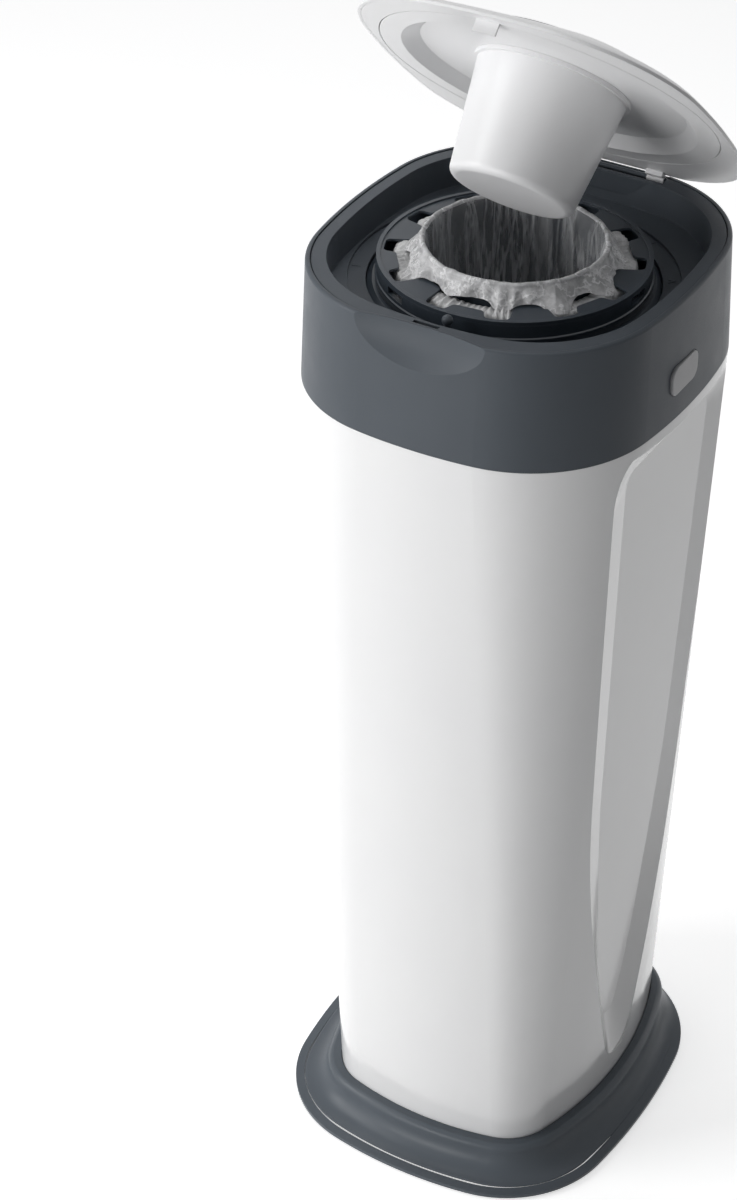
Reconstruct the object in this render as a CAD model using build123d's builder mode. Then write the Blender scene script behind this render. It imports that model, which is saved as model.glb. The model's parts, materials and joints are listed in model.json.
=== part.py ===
"""Nappy bin with a hinged lid, a twist-to-seal film cassette and a tip-back top housing.

Millimetres. +Z is up and -Y is the front. The origin is on the floor under the middle of the
base. The lid is drawn as it is when shut and then stands open by LID_OPEN about its hinge.
"""
import os
from collections import namedtuple
from math import acos, atan2, cos, hypot, pi, radians, sin, sqrt

from build123d import *

os.makedirs("parts", exist_ok=True)

# ---------------------------------------------------------------- driving dimensions
# The cassette's rim sets the size of all that stands round it
CASSETTE_RIM = 78.6

# Outlines: half width, half depth, radii of the corner, side and front arcs, middle in Y
Outline = namedtuple("Outline", "half_x half_y corner side front mid_y")
BASE_RIM = Outline(CASSETTE_RIM + 38.1, CASSETTE_RIM + 49.9, 78.0, 419.0, 273.0, 0.0)
SHOULDER = Outline(CASSETTE_RIM + 20.2, CASSETTE_RIM + 37.8, 45.0, 249.0, 214.0, 9.8)
TUB_FOOT = Outline(CASSETTE_RIM + 11.2, CASSETTE_RIM + 30.3, 36.0, 240.0, 205.0, 11.3)
SEAM = Outline(CASSETTE_RIM + 32.7, CASSETTE_RIM + 44.4, 82.0, 368.0, 291.0, 5.5)
LID_SEAT = Outline(CASSETTE_RIM + 28.0, CASSETTE_RIM + 37.3, 77.7, 349.0, 276.0, 5.4)

# Heights
BASE_UNDERSIDE = 1.5
TUB_FOOT_Z = 23.0
SEAM_Z = 553.0
LID_SEAT_Z = 626.0

# Walls and clearances
WALL = 2.8
PLATE = 2.5
FIT = 0.3
PIN_PLAY = 0.05

# Base
BASE_LIP = 2.5
BASE_FLOOR_LOW = 5.0
BASE_FLOOR = 8.0
SHOULDER_Z = 20.0
BASE_TOP = 25.0
FOOT_RADIUS = 11.0
FOOT_X = TUB_FOOT.half_x - FOOT_RADIUS - 2.8
FOOT_Y = TUB_FOOT.half_y - FOOT_RADIUS - 13.9

# Tub side recess: a flat tongue shaped panel with ramps that run out to the tub's curved side.
# Each tongue: half width at the top, at the bend and half way to the tip; top, tip and corner
Tongue = namedtuple("Tongue", "half waist hip top tip corner")
RAMP = Tongue(102.0, 97.0, 52.0, 546.0, 42.0, 40.0)
PANEL = Tongue(53.0, 45.6, 30.7, 528.0, 72.0, 10.0)
RECESS_BEND = 300.0
RECESS_Y = 8.0
RAMP_DEPTH_TOP = 5.5
RAMP_DEPTH_FOOT = 0.5
PANEL_DEPTH_TOP = 12.3
PANEL_DEPTH_FOOT = 9.0

# Housing hinge at the back of the seam
HOUSING_HINGE_Y = SEAM.mid_y + SEAM.half_y - 4.0
HOUSING_HINGE_Z = 558.0
HOUSING_PIN = 2.0
HOUSING_BARREL = 4.0
HOUSING_EAR_IN = 25.5
HOUSING_EAR_OUT = 34.0
HOUSING_NOTCH_Z = 563.0

# Collar basin and cassette well, round about the cassette's axis
AXIS_Y = -0.8
BASIN_EDGE_X = 8.0
BASIN_EDGE_Y = 11.0
BASIN_DRAFT = 2.0
BASIN_FLOOR = 607.0
RIM_DROP = 0.5
STEP_DROP = 1.5
WELL_RADIUS = CASSETTE_RIM + 5.9
LEDGE_RADIUS = WELL_RADIUS - 4.5
STEP_RADIUS = WELL_RADIUS + 10.5
LEDGE_Z = 592.0
LEDGE_THICK = 3.0
SKIRT_RADIUS = WELL_RADIUS + 3.5
DETENT_BALL = 3.2
PEG_X = 5.0

# Finger scoop and latch slot at the front of the collar
SLOT_HALF = 8.0
SLOT_DEPTH = 2.6
SLOT_Y = LID_SEAT.mid_y - LID_SEAT.half_y + 8.2
HOOK_THICK = 1.2
SCOOP_RADIUS = 38.5
SCOOP_HALF = 117.0
SCOOP_SKIN = 1.6
SCOOP_Y = SLOT_Y - SLOT_DEPTH / 2 - SCOOP_SKIN - SCOOP_RADIUS - 0.8
SCOOP_Z = 627.0

# Release buttons and the catch that each one works
BUTTON_Y = -4.0
BUTTON_Z = 578.0
BUTTON_WIDTH = 33.0
BUTTON_HEIGHT = 19.0
BUTTON_CORNER = 7.0
BUTTON_PROUD = 0.8
LATCH_BACK = SKIRT_RADIUS + 7.0
LATCH_THICK = 2.5
LATCH_WIDTH = 24.0
SPRING_WIRE = 0.4
SPRING_RADIUS = 3.2
SPRING_TURNS = 3
STRIKE_IN = LATCH_BACK + LATCH_THICK + 4.7
STRIKE_THICK = 2.4
STRIKE_TOP = 565.0
STRIKE_BARB = 2.5
STRIKE_LIP = 0.4
STRIKE_WIDTH = 26.0
TOOTH_GAP = 1.0

# Lid hinge, and how far the lid stands open
LID_HINGE_Y = LID_SEAT.mid_y + LID_SEAT.half_y - 2.9
LID_HINGE_Z = 623.5
LID_OPEN = 43.6
LID_PIN = 1.5
LID_BARREL = 2.7
LID_LUG_X = 30.5
LID_LUG_WIDTH = 11.0
POCKET_HALF = 38.0
LID_PIN_HALF = 41.0
POCKET_Z = 616.0
POCKET_Y = LID_HINGE_Y - 7.4

# Lid
LID_GAP = 0.3
LID_EDGE = 1.8
LID_RISE = 17.0
LID_SKIN = 2.0
LID_BACK = LID_HINGE_Y - 2.0
DISC_RADIUS = LID_SEAT.half_x - 5.8
DISC_EDGE = 1.6
DISC_GAP = 0.5
DISH_RADIUS = DISC_RADIUS - 12.8
DISH_INNER = DISH_RADIUS - 9.0
DISH_RISE = 6.5
PLUNGER_TIP_Z = 563.4
PLUNGER_ROUND = 5.0
PLUNGER_FLANGE = 2.2
DIAL_RADIUS = 56.0
DIAL_HEIGHT = 5.0
GRIP_HEIGHT = 9.0
HUB_RADIUS = 9.0

# Cassette and its film
CASSETTE_TOP = 621.5
CASSETTE_BAND = 15.5
CASSETTE_BODY = CASSETTE_RIM - 2.6
CASSETTE_TAPER = 3.0
CASSETTE_FLOOR = 566.0
CAP_RING = 4.0
CAP_TABS = 6
CAP_TURN = 6.0
LONG_TAB_TIP = 15.0
LONG_TAB_ROOT = 29.0
SHORT_TAB = 12.0
SHORT_TAB_TIP = 18.0
SHORT_TAB_ROOT = 27.0
TAB_ROUND = 3.0
TUBE_RADIUS = 53.8
TUBE_WALL = 2.0
TUBE_TOP = 630.0
PLUNGER_TOP = TUBE_RADIUS - 9.7
PLUNGER_TIP = PLUNGER_TOP - 7.4
FILM = 0.7
FILM_ROUND = 4.0
FILM_HEM = TUBE_RADIUS + 13.2
NECK_RADIUS = 6.0
FUNNEL_NECK_Z = 549.5

# Wrapped bundles hanging under the cassette
BUNDLE_RADIUS = 44.5
BUNDLE_PITCH = 114.0
BUNDLE_COUNT = 3

# Gripper plate under the cassette
GRIPPER_RADIUS = SKIRT_RADIUS + 3.0
GRIPPER_Z = 493.0
GRIPPER_CONE_TOP = GRIPPER_RADIUS - 21.0
GRIPPER_CONE_FOOT = BUNDLE_RADIUS + 3.5
GRIPPER_CONE_DROP = 16.0
FINGER_COUNT = 6
FINGER_THICK = 2.0
FINGER_TIP_WIDTH = 9.0
FINGER_ROOT_WIDTH = 20.0
SCREW_CIRCLE = GRIPPER_RADIUS - 4.5
SCREW_RADIUS = 1.5
BOSS_RADIUS = 3.6

# ---------------------------------------------------------------- outlines and planes


def between(low, high, share):
    """The outline that lies the given share of the way from one outline to another."""
    return Outline(*(a + (b - a) * share for a, b in zip(low, high)))


def grown(outline, amount):
    """The same outline set outwards by an amount, with its middle unmoved."""
    return Outline(*(value + amount for value in outline[:5]), outline.mid_y)


def tub_outline(height):
    """Outside of the tub at a height."""
    return between(TUB_FOOT, SEAM, (height - TUB_FOOT_Z) / (SEAM_Z - TUB_FOOT_Z))


def collar_outline(height):
    """Outside of the collar at a height."""
    return between(SEAM, grown(LID_SEAT, WALL), (height - SEAM_Z) / (LID_SEAT_Z - SEAM_Z))


def draw(outline):
    """Four shallow arcs joined by four corner arcs, as one face in the current sketch."""
    side_x = outline.half_x - outline.side
    front_y = outline.half_y - outline.front
    span = hypot(side_x, front_y)
    reach_side = outline.side - outline.corner
    reach_front = outline.front - outline.corner
    turn = acos((reach_side**2 + span**2 - reach_front**2) / (2 * reach_side * span))
    along = atan2(front_y, -side_x)
    angle = min((along + turn, along - turn), key=lambda a: abs(a - pi / 5))
    corner_x = side_x + reach_side * cos(angle)
    corner_y = reach_side * sin(angle)
    top_angle = atan2(corner_y - front_y, corner_x)
    middle = (angle + top_angle) / 2
    side_end = (side_x + outline.side * cos(angle), outline.side * sin(angle))
    round_mid = (corner_x + outline.corner * cos(middle), corner_y + outline.corner * sin(middle))
    top_end = (outline.front * cos(top_angle), front_y + outline.front * sin(top_angle))

    def flip(point, x, y):
        return (point[0] * x, point[1] * y)

    with BuildLine() as rim:
        ThreePointArc(flip(side_end, 1, -1), (outline.half_x, 0), side_end)
        ThreePointArc(side_end, round_mid, top_end)
        ThreePointArc(top_end, (0, outline.half_y), flip(top_end, -1, 1))
        ThreePointArc(flip(top_end, -1, 1), flip(round_mid, -1, 1), flip(side_end, -1, 1))
        ThreePointArc(flip(side_end, -1, 1), (-outline.half_x, 0), flip(side_end, -1, -1))
        ThreePointArc(flip(side_end, -1, -1), flip(round_mid, -1, -1), flip(top_end, -1, -1))
        ThreePointArc(flip(top_end, -1, -1), (0, -outline.half_y), flip(top_end, 1, -1))
        ThreePointArc(flip(top_end, 1, -1), flip(round_mid, 1, -1), flip(side_end, 1, -1))
    make_face(rim.edges())


def level(height, depth=0.0):
    """Horizontal sketch plane."""
    return Plane(origin=(0, depth, height))


def skin(sections, mode=Mode.ADD):
    """Loft through outlines given as (outline, height) pairs, from the lowest up."""
    faces = []
    for outline, height in sections:
        with BuildSketch(level(height, outline.mid_y)) as ring:
            draw(outline)
        faces.append(ring.sketch.face())
    loft(faces, mode=mode)


def lid_point(y, z):
    """Where a point of the shut lid stands with the lid open."""
    dy, dz = y - LID_HINGE_Y, z - LID_HINGE_Z
    open_by = radians(LID_OPEN)
    return (
        0,
        LID_HINGE_Y + dy * cos(open_by) + dz * sin(open_by),
        LID_HINGE_Z - dy * sin(open_by) + dz * cos(open_by),
    )


LID_UP = (0, sin(radians(LID_OPEN)), cos(radians(LID_OPEN)))
LID_FORWARD = (0, -cos(radians(LID_OPEN)), sin(radians(LID_OPEN)))


def lid_level(height, depth=0.0):
    """Sketch plane parallel to the lid, at the height and depth it has when the lid is shut."""
    return Plane(origin=lid_point(depth, height), x_dir=(1, 0, 0), z_dir=LID_UP)


def lid_skin(sections, mode=Mode.ADD):
    """Loft through outlines on the lid's own levels."""
    faces = []
    for outline, height in sections:
        with BuildSketch(lid_level(height, outline.mid_y)) as ring:
            draw(outline)
        faces.append(ring.sketch.face())
    loft(faces, mode=mode)


AXIS = Axis((0, AXIS_Y, 0), (0, 0, 1))
PROFILE = Plane(origin=(0, AXIS_Y, 0), x_dir=(1, 0, 0), z_dir=(0, -1, 0))
LID_AXIS = Axis(lid_point(AXIS_Y, 0), LID_UP)
LID_PROFILE = Plane(origin=lid_point(AXIS_Y, 0), x_dir=(1, 0, 0), z_dir=LID_FORWARD)


def finish(piece, name):
    """Name a finished piece and write it."""
    piece.part.label = name
    export_step(piece.part, f"parts/{name}.step")


# ---------------------------------------------------------------- base and feet
with BuildPart() as base_plinth:
    with BuildSketch(level(BASE_UNDERSIDE, BASE_RIM.mid_y)):
        draw(BASE_RIM)
    extrude(amount=BASE_LIP)
    lip_top = BASE_UNDERSIDE + BASE_LIP
    sweep_height = SHOULDER_Z - lip_top
    # the flange falls away from the shoulder in a hollow curve
    skin(
        [
            (BASE_RIM, lip_top),
            (between(BASE_RIM, SHOULDER, 0.30), lip_top + sweep_height * 0.06),
            (between(BASE_RIM, SHOULDER, 0.62), lip_top + sweep_height * 0.20),
            (between(BASE_RIM, SHOULDER, 0.86), lip_top + sweep_height * 0.48),
            (SHOULDER, SHOULDER_Z),
        ]
    )
    skin(
        [
            (SHOULDER, SHOULDER_Z),
            (grown(SHOULDER, -1.2), BASE_TOP - 1.6),
            (grown(SHOULDER, -3.6), BASE_TOP),
        ]
    )
    skin(
        [
            (grown(tub_outline(BASE_FLOOR), FIT), BASE_FLOOR),
            (grown(tub_outline(BASE_TOP + 1), FIT), BASE_TOP + 1),
        ],
        mode=Mode.SUBTRACT,
    )
    with BuildSketch(level(BASE_UNDERSIDE, BASE_RIM.mid_y)):
        draw(grown(BASE_RIM, -6))
    extrude(amount=BASE_FLOOR_LOW - BASE_UNDERSIDE, mode=Mode.SUBTRACT)
    with BuildSketch(level(BASE_UNDERSIDE)):
        with GridLocations(2 * FOOT_X, 2 * FOOT_Y, 2, 2):
            Circle(FOOT_RADIUS + FIT + PLATE)
            Circle(FOOT_RADIUS + FIT, mode=Mode.SUBTRACT)
    extrude(amount=BASE_FLOOR_LOW - BASE_UNDERSIDE)
finish(base_plinth, "base_plinth")

with BuildPart() as rubber_feet:
    with BuildSketch(level(0)):
        with GridLocations(2 * FOOT_X, 2 * FOOT_Y, 2, 2):
            Circle(FOOT_RADIUS)
    extrude(amount=BASE_FLOOR_LOW)
    chamfer(rubber_feet.edges().group_by(Axis.Z)[0], 0.8)
finish(rubber_feet, "rubber_feet")

# ---------------------------------------------------------------- tub
def side_plane(depth_top, depth_foot):
    """Plane inside the tub's right side, at one depth below it at the seam and one at the foot."""
    top_x, foot_x = SEAM.half_x - depth_top, TUB_FOOT.half_x - depth_foot
    lean = atan2(top_x - foot_x, SEAM_Z - TUB_FOOT_Z)
    return Plane(
        origin=(foot_x, RECESS_Y, TUB_FOOT_Z),
        x_dir=(0, 1, 0),
        z_dir=(cos(lean), 0, -sin(lean)),
    )


def draw_tongue(tongue):
    """Rounded upper corners, sides that turn in at the bend, and a rounded tip."""
    top, tip, bend = tongue.top - TUB_FOOT_Z, tongue.tip - TUB_FOOT_Z, RECESS_BEND - TUB_FOOT_Z
    nose = 0.20 * tongue.half
    with BuildLine() as rim:
        Line((0, top), (tongue.half - tongue.corner, top))
        RadiusArc(
            (tongue.half - tongue.corner, top), (tongue.half, top - tongue.corner), tongue.corner
        )
        Line((tongue.half, top - tongue.corner), (tongue.waist, bend))
        Spline(
            (tongue.waist, bend),
            (tongue.hip, (bend + tip) / 2 - 0.05 * (bend - tip)),
            (nose, tip + nose * 1.1),
            (0, tip),
            tangents=((tongue.waist - tongue.half, bend - top + tongue.corner), (-1, 0)),
        )
        mirror(about=Plane.YZ)
    make_face(rim.edges())


def recess_tool(wall):
    """Cutting block of the side recess, thickened all round by a wall."""
    faces = []
    for tongue, depth_top, depth_foot in (
        (PANEL, PANEL_DEPTH_TOP, PANEL_DEPTH_FOOT),
        (RAMP, RAMP_DEPTH_TOP, RAMP_DEPTH_FOOT),
    ):
        thick = Tongue(
            tongue.half + wall,
            tongue.waist + wall,
            tongue.hip + wall,
            tongue.top + wall,
            tongue.tip - wall,
            tongue.corner + wall,
        )
        with BuildSketch(side_plane(depth_top + wall, depth_foot + wall)) as outline:
            draw_tongue(thick)
        faces.append(outline.sketch.face())
    with BuildPart() as tool:
        loft(faces)
        extrude(faces[1], amount=RAMP_DEPTH_TOP + wall + 12)
    return tool.part


recess = recess_tool(0)
recess_wall = recess_tool(WALL)

with BuildPart() as tub_shell:
    skin([(tub_outline(BASE_FLOOR), BASE_FLOOR), (SEAM, SEAM_Z)])
    add(recess, mode=Mode.SUBTRACT)
    add(mirror(recess, about=Plane.YZ), mode=Mode.SUBTRACT)
with BuildPart() as tub_hollow:
    floor_top = BASE_FLOOR + WALL
    skin(
        [
            (grown(tub_outline(floor_top), -WALL), floor_top),
            (grown(tub_outline(SEAM_Z + 1), -WALL), SEAM_Z + 1),
        ]
    )
    add(recess_wall, mode=Mode.SUBTRACT)
    add(mirror(recess_wall, about=Plane.YZ), mode=Mode.SUBTRACT)
with tub_shell:
    add(tub_hollow.part, mode=Mode.SUBTRACT)
    # ears of the housing hinge
    for side in (-1, 1):
        ear_start = HOUSING_EAR_IN if side > 0 else -HOUSING_EAR_OUT
        with BuildSketch(Plane.YZ.offset(ear_start)):
            with Locations((HOUSING_HINGE_Y, HOUSING_HINGE_Z)):
                Circle(HOUSING_BARREL)
            with Locations((HOUSING_HINGE_Y - 1.5, HOUSING_HINGE_Z - 11)):
                Rectangle(5, 22)
            with Locations((HOUSING_HINGE_Y, HOUSING_HINGE_Z)):
                Circle(HOUSING_PIN + PIN_PLAY, mode=Mode.SUBTRACT)
        extrude(amount=HOUSING_EAR_OUT - HOUSING_EAR_IN)
finish(tub_shell, "tub_shell")

strike_foot = RAMP.top + WALL + 0.05
with BuildPart() as latch_strikes:
    # a barbed blade on each side's shelf, which the release catch reaches for
    for side in (-1, 1):
        with BuildSketch(Plane.XZ.offset(-BUTTON_Y - STRIKE_WIDTH / 2)):
            with BuildLine():
                Polyline(
                    (side * STRIKE_IN, strike_foot),
                    (side * (STRIKE_IN + STRIKE_THICK + STRIKE_LIP), strike_foot),
                    (side * (STRIKE_IN + STRIKE_THICK + STRIKE_LIP), strike_foot + 1.6),
                    (side * (STRIKE_IN + STRIKE_THICK), strike_foot + 2.6),
                    (side * (STRIKE_IN + STRIKE_THICK), STRIKE_TOP),
                    (side * STRIKE_IN, STRIKE_TOP),
                    (side * (STRIKE_IN - STRIKE_BARB), STRIKE_TOP - 1.5),
                    (side * (STRIKE_IN - STRIKE_BARB), STRIKE_TOP - 2.5),
                    (side * STRIKE_IN, STRIKE_TOP - 2.5),
                    close=True,
                )
            make_face()
        extrude(amount=STRIKE_WIDTH)
finish(latch_strikes, "latch_strikes")

with BuildPart() as housing_hinge_pin:
    with BuildSketch(Plane.YZ.offset(-HOUSING_EAR_OUT)):
        with Locations((HOUSING_HINGE_Y, HOUSING_HINGE_Z)):
            Circle(HOUSING_PIN)
    extrude(amount=2 * HOUSING_EAR_OUT)
finish(housing_hinge_pin, "housing_hinge_pin")

# ---------------------------------------------------------------- collar shell


def scoop(radius):
    """Spindle whose surface is the finger scoop, lying along X across the collar's front."""
    half = SCOOP_HALF * sqrt(radius / SCOOP_RADIUS)
    with BuildPart() as tool:
        with BuildSketch(Plane(origin=(0, SCOOP_Y, SCOOP_Z), z_dir=(0, 0, 1))):
            with BuildLine():
                ThreePointArc((-half, 0), (0, radius), (half, 0))
                Line((half, 0), (-half, 0))
            make_face()
        revolve(axis=Axis((0, SCOOP_Y, SCOOP_Z), (1, 0, 0)))
    return tool.part


scoop_cut = scoop(SCOOP_RADIUS)
scoop_back = scoop(SCOOP_RADIUS + SCOOP_SKIN)
scoop_room = scoop(SCOOP_RADIUS + SCOOP_SKIN + FIT)

with BuildPart() as collar_block:
    skin([(SEAM, SEAM_Z), (grown(LID_SEAT, WALL), LID_SEAT_Z)])
    fillet(collar_block.edges().group_by(Axis.Z)[-1], WALL * 0.6)

with BuildPart() as scoop_bowl:
    add(collar_block.part)
    add(scoop_back, mode=Mode.INTERSECT)

with BuildPart() as collar_shell:
    add(collar_block.part)
    skin(
        [
            (grown(SEAM, -WALL), SEAM_Z),
            (LID_SEAT, LID_SEAT_Z),
        ],
        mode=Mode.SUBTRACT,
    )
    # locating ring that drops into the tub's mouth
    ring_low = RAMP.top + WALL + 0.7
    for growth, mode in ((-WALL - 2 * FIT, Mode.ADD), (-WALL - 2 * FIT - 2, Mode.SUBTRACT)):
        skin(
            [
                (grown(tub_outline(ring_low), growth), ring_low),
                (grown(tub_outline(SEAM_Z), growth), SEAM_Z),
            ],
            mode=mode,
        )
    for growth, mode in ((-WALL + 0.2, Mode.ADD), (-WALL - 2 * FIT - 2, Mode.SUBTRACT)):
        skin([(grown(SEAM, growth), SEAM_Z), (grown(SEAM, growth), SEAM_Z + 2.5)], mode=mode)
    add(scoop_bowl.part)
    add(scoop_cut, mode=Mode.SUBTRACT)
    # windows for the buttons
    with BuildSketch(Plane.YZ.offset(-SEAM.half_x - 5)):
        with Locations((BUTTON_Y, BUTTON_Z)):
            RectangleRounded(BUTTON_WIDTH, BUTTON_HEIGHT, BUTTON_CORNER)
    extrude(amount=2 * SEAM.half_x + 10, mode=Mode.SUBTRACT)
    # notch round the housing hinge
    notch_back = SEAM.mid_y + SEAM.half_y + 5
    with BuildSketch(Plane.XZ.offset(-notch_back)):
        with Locations((0, (ring_low - 2 + HOUSING_NOTCH_Z) / 2)):
            Rectangle(2 * HOUSING_EAR_OUT + 30, HOUSING_NOTCH_Z - ring_low + 2)
    extrude(amount=notch_back - HOUSING_HINGE_Y + 12.5, mode=Mode.SUBTRACT)
    # hinge barrel and its web
    with BuildSketch(Plane.YZ.offset(-HOUSING_EAR_IN + FIT)):
        with Locations((HOUSING_HINGE_Y, HOUSING_HINGE_Z)):
            Circle(HOUSING_BARREL)
        with Locations((HOUSING_HINGE_Y - 1, HOUSING_HINGE_Z + 7)):
            Rectangle(4.5, 14)
        with Locations((HOUSING_HINGE_Y, HOUSING_HINGE_Z)):
            Circle(HOUSING_PIN + PIN_PLAY, mode=Mode.SUBTRACT)
    extrude(amount=2 * (HOUSING_EAR_IN - FIT))
    # pocket for the lid hinge
    with BuildSketch(Plane.XZ.offset(-notch_back)):
        with Locations((0, POCKET_Z + 8)):
            Rectangle(2 * POCKET_HALF, 16)
    extrude(amount=notch_back - POCKET_Y, mode=Mode.SUBTRACT)
    with BuildSketch(Plane.YZ.offset(-LID_PIN_HALF)):
        with Locations((LID_HINGE_Y, LID_HINGE_Z)):
            Circle(LID_PIN + 0.02)
    extrude(amount=2 * LID_PIN_HALF, mode=Mode.SUBTRACT)
finish(collar_shell, "collar_shell")

# ---------------------------------------------------------------- collar liner
rim_top = LID_SEAT_Z - RIM_DROP
basin_edge = Outline(
    LID_SEAT.half_x - BASIN_EDGE_X,
    LID_SEAT.half_y - BASIN_EDGE_Y,
    LID_SEAT.corner - BASIN_EDGE_X,
    LID_SEAT.side - BASIN_EDGE_X,
    LID_SEAT.front - BASIN_EDGE_Y,
    LID_SEAT.mid_y,
)
basin_foot = grown(basin_edge, -BASIN_DRAFT)
floor_low = BASIN_FLOOR - WALL
skirt_low = GRIPPER_Z + PLATE
with BuildPart() as pocket_block:
    # floor and cheeks of the lid hinge's pocket, inside the collar shell
    with BuildSketch(level(POCKET_Z - WALL, LID_SEAT.mid_y)):
        draw(grown(LID_SEAT, -FIT))
    extrude(amount=rim_top - POCKET_Z + WALL - 0.5)
    with BuildSketch(level(POCKET_Z - WALL, POCKET_Y + 10 - PLATE)):
        Rectangle(2 * LID_PIN_HALF + 3, 20)
    extrude(amount=rim_top - POCKET_Z + WALL, mode=Mode.INTERSECT)

with BuildPart() as collar_liner:
    with BuildSketch(level(rim_top - WALL, LID_SEAT.mid_y)):
        draw(grown(LID_SEAT, -FIT))
    extrude(amount=WALL)
    fillet(collar_liner.edges().group_by(Axis.Z)[-1], 0.6)
    skin([(grown(basin_foot, PLATE), floor_low), (grown(basin_edge, PLATE), rim_top - WALL)])
    with BuildSketch(PROFILE):
        with BuildLine():
            Polyline(
                (0, skirt_low),
                (SKIRT_RADIUS, skirt_low),
                (SKIRT_RADIUS, floor_low + 1),
                (0, floor_low + 1),
                close=True,
            )
        make_face()
    revolve(axis=AXIS)
    skin([(basin_foot, BASIN_FLOOR), (basin_edge, rim_top + 0.1)], mode=Mode.SUBTRACT)
    # stepped well: lowered floor ring, cassette well, ledge, bore down to the gripper
    with BuildSketch(PROFILE):
        with BuildLine():
            Polyline(
                (0, skirt_low - 1),
                (SKIRT_RADIUS - WALL, skirt_low - 1),
                (SKIRT_RADIUS - WALL, LEDGE_Z - LEDGE_THICK),
                (LEDGE_RADIUS, LEDGE_Z - LEDGE_THICK),
                (LEDGE_RADIUS, LEDGE_Z),
                (WELL_RADIUS, LEDGE_Z),
                (WELL_RADIUS, BASIN_FLOOR - STEP_DROP),
                (STEP_RADIUS, BASIN_FLOOR - STEP_DROP),
                (STEP_RADIUS, BASIN_FLOOR + 1),
                (0, BASIN_FLOOR + 1),
                close=True,
            )
        make_face()
    revolve(axis=AXIS, mode=Mode.SUBTRACT)
    # bosses that the gripper plate's screws go into
    with BuildSketch(level(skirt_low, AXIS_Y)):
        with PolarLocations(SCREW_CIRCLE, FINGER_COUNT, start_angle=30):
            Circle(BOSS_RADIUS)
    extrude(amount=12)
    with BuildSketch(level(skirt_low, AXIS_Y)):
        with PolarLocations(SCREW_CIRCLE, FINGER_COUNT, start_angle=30):
            Circle(SCREW_RADIUS)
    extrude(amount=10, mode=Mode.SUBTRACT)
    # guide rails for the release catches
    rail_y = LATCH_WIDTH / 2 + FIT + 1
    rail_in = SKIRT_RADIUS - 2.5
    for side in (-1, 1):
        rail_mid = side * (rail_in + LATCH_BACK + LATCH_THICK + 1) / 2
        with BuildSketch(level(STRIKE_TOP - 7)):
            with Locations((rail_mid, BUTTON_Y - rail_y), (rail_mid, BUTTON_Y + rail_y)):
                Rectangle(LATCH_BACK + LATCH_THICK + 1 - rail_in, 2)
        extrude(amount=30)
    add(pocket_block.part)
    # latch slot, scoop room and lid hinge pocket
    with BuildSketch(level(rim_top - 8, SLOT_Y)):
        Rectangle(2 * SLOT_HALF, SLOT_DEPTH)
    extrude(amount=9, mode=Mode.SUBTRACT)
    add(scoop_room, mode=Mode.SUBTRACT)
    with BuildSketch(level(POCKET_Z, (POCKET_Y + notch_back) / 2)):
        Rectangle(2 * POCKET_HALF, notch_back - POCKET_Y)
    extrude(amount=16, mode=Mode.SUBTRACT)
    with BuildSketch(Plane.YZ.offset(-LID_PIN_HALF)):
        with Locations((LID_HINGE_Y, LID_HINGE_Z)):
            Circle(LID_PIN + 0.02)
    extrude(amount=2 * LID_PIN_HALF, mode=Mode.SUBTRACT)
finish(collar_liner, "collar_liner")

with BuildPart() as lid_hinge_pin:
    with BuildSketch(Plane.YZ.offset(-LID_PIN_HALF + 0.2)):
        with Locations((LID_HINGE_Y, LID_HINGE_Z)):
            Circle(LID_PIN)
    extrude(amount=2 * (LID_PIN_HALF - 0.2))
finish(lid_hinge_pin, "lid_hinge_pin")

with BuildPart() as detent_peg:
    # ball on a stem that the cassette's rim clicks past
    peg_y = AXIS_Y - (WELL_RADIUS + 2.4)
    peg_top = CASSETTE_TOP + 0.8
    with Locations((PEG_X, peg_y, peg_top)):
        Sphere(DETENT_BALL)
    with BuildSketch(level(BASIN_FLOOR - STEP_DROP)):
        with Locations((PEG_X, peg_y)):
            Circle(DETENT_BALL * 0.6)
    extrude(amount=peg_top - BASIN_FLOOR + STEP_DROP)
finish(detent_peg, "detent_peg")

# ---------------------------------------------------------------- release buttons
shell_x = collar_outline(BUTTON_Z).half_x
flange_out = shell_x - WALL - 1.6

def release_button(side):
    """Cap that shows in the collar's side, its flange behind the wall and its stem."""
    with BuildPart() as button:
        with BuildSketch(Plane.YZ.offset(flange_out)):
            with Locations((BUTTON_Y, BUTTON_Z)):
                RectangleRounded(BUTTON_WIDTH - 2 * FIT, BUTTON_HEIGHT - 2 * FIT, BUTTON_CORNER - FIT)
        extrude(amount=shell_x + BUTTON_PROUD - flange_out)
        fillet(button.edges().group_by(Axis.X)[-1], 0.8)
        with BuildSketch(Plane.YZ.offset(flange_out - 1.4)):
            with Locations((BUTTON_Y, BUTTON_Z)):
                RectangleRounded(BUTTON_WIDTH + 3, BUTTON_HEIGHT + 2, BUTTON_CORNER)
        extrude(amount=1.4)
        with BuildSketch(Plane.YZ.offset(LATCH_BACK + LATCH_THICK)):
            with Locations((BUTTON_Y, BUTTON_Z)):
                Rectangle(10, 10)
        extrude(amount=flange_out - 1.4 - LATCH_BACK - LATCH_THICK)
    if side < 0:
        button.part = mirror(button.part, about=Plane.YZ)
    return button


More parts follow.
